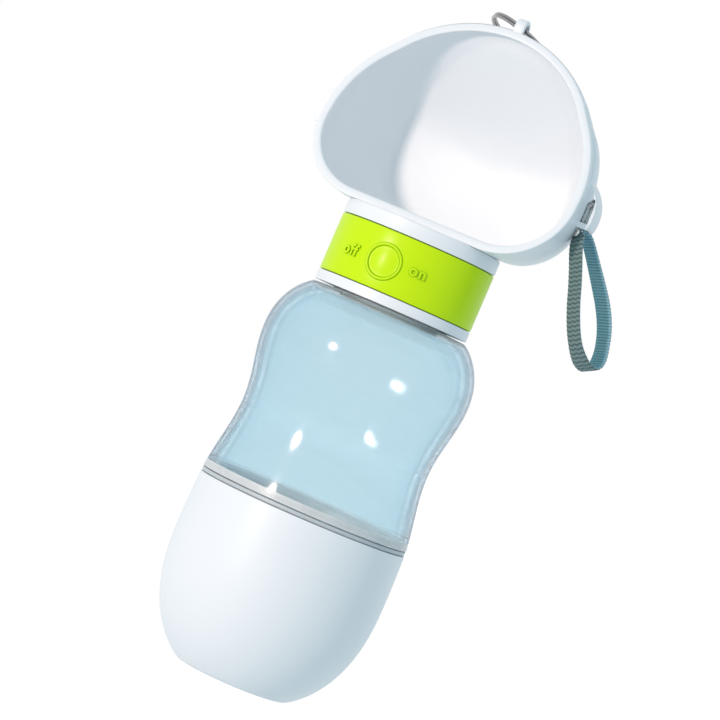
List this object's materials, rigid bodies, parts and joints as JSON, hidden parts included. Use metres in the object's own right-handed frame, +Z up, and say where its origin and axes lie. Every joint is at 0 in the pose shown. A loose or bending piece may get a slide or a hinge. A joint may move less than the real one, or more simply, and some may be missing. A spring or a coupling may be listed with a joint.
{
  "type": "dog travel water bottle",
  "caption": "Travel water bottle for a dog with a food cup at its foot, a twist valve ring and a scoop-shaped drinking bowl",
  "frame": {"origin": "on the bottle's axis, in the plane of the food cup's flat foot", "axes": "+Z up along the bottle from the food cup to the top of the bowl; the bowl's mouth faces -Y; +X is on the side of the wrist strap"},
  "size_m": [0.1259, 0.0775, 0.2417],
  "materials": {
    "white": "glossy cool white",
    "lime": "glossy lime green",
    "clear": "clear moulded plastic",
    "silicone": "translucent grey silicone",
    "silicone_blue": "blue-grey silicone",
    "oring": "black rubber",
    "natural": "natural low-friction plastic",
    "steel": "bright steel",
    "webbing": "woven grey webbing"
  },
  "bodies": {
    "food_cup": {"food_cup": "white"},
    "cup_seal": {"cup_seal": "silicone"},
    "bottle": {"bottle": "clear"},
    "neck_gasket": {"neck_gasket": "silicone"},
    "cap": {"cap": "white", "valve_seat": "silicone", "vent_valve": "silicone", "lower_ring_seal": "oring", "upper_ring_seal": "oring", "bowl": "white", "bowl_seal": "silicone", "outlet_strainer": "white", "strap_pin": "steel", "strap_tab": "webbing"},
    "ring": {"valve_ring": "lime", "cam_sleeve": "natural"},
    "carriage": {"valve_carriage": "natural", "follower_pins": "steel", "valve_plug": "silicone_blue"},
    "strap": {"wrist_strap": "webbing"},
    "split_ring": {"split_ring": "steel"}
  },
  "joints": [
    {"name": "cup_lift", "type": "slide", "parent": "food_cup", "child": "cup_seal", "axis": [0, 0, 1], "range_m": [0, 0.009]},
    {"name": "bottle_turn", "type": "hinge", "parent": "cup_seal", "child": "bottle", "pos_m": [0, 0, 0.058], "axis": [0, 0, 1], "range_deg": [0, 541]},
    {"name": "cap_lift", "type": "slide", "parent": "bottle", "child": "neck_gasket", "axis": [0, 0, 1], "range_m": [0, 0.008]},
    {"name": "cap_turn", "type": "hinge", "parent": "neck_gasket", "child": "cap", "pos_m": [0, 0, 0.138], "axis": [0, 0, 1], "range_deg": [0, 721]},
    {"name": "plug_lift", "type": "slide", "parent": "cap", "child": "carriage", "axis": [0, 0, 1], "range_m": [-0.0015, 0.0015]},
    {"name": "ring_turn", "type": "hinge", "parent": "cap", "child": "ring", "pos_m": [0, 0, 0.148], "axis": [0, 0, 1], "range_deg": [-28.1, 28.1]},
    {"name": "strap_swing", "type": "hinge", "parent": "cap", "child": "strap", "pos_m": [0.04935, 0.0037, 0.1817], "axis": [0, -1, 0], "range_deg": [-15, 45]},
    {"name": "ring_swing", "type": "hinge", "parent": "cap", "child": "split_ring", "pos_m": [0, 0.00988, 0.2381], "axis": [1, 0, 0], "range_deg": [0, 140]}
  ],
  "couplings": [
    {"joint": "bottle_turn", "follows": "cup_lift", "rad_per_m": 1047.2},
    {"joint": "cap_turn", "follows": "cap_lift", "rad_per_m": 1570.8},
    {"joint": "ring_turn", "follows": "plug_lift", "rad_per_m": -325.79}
  ]
}
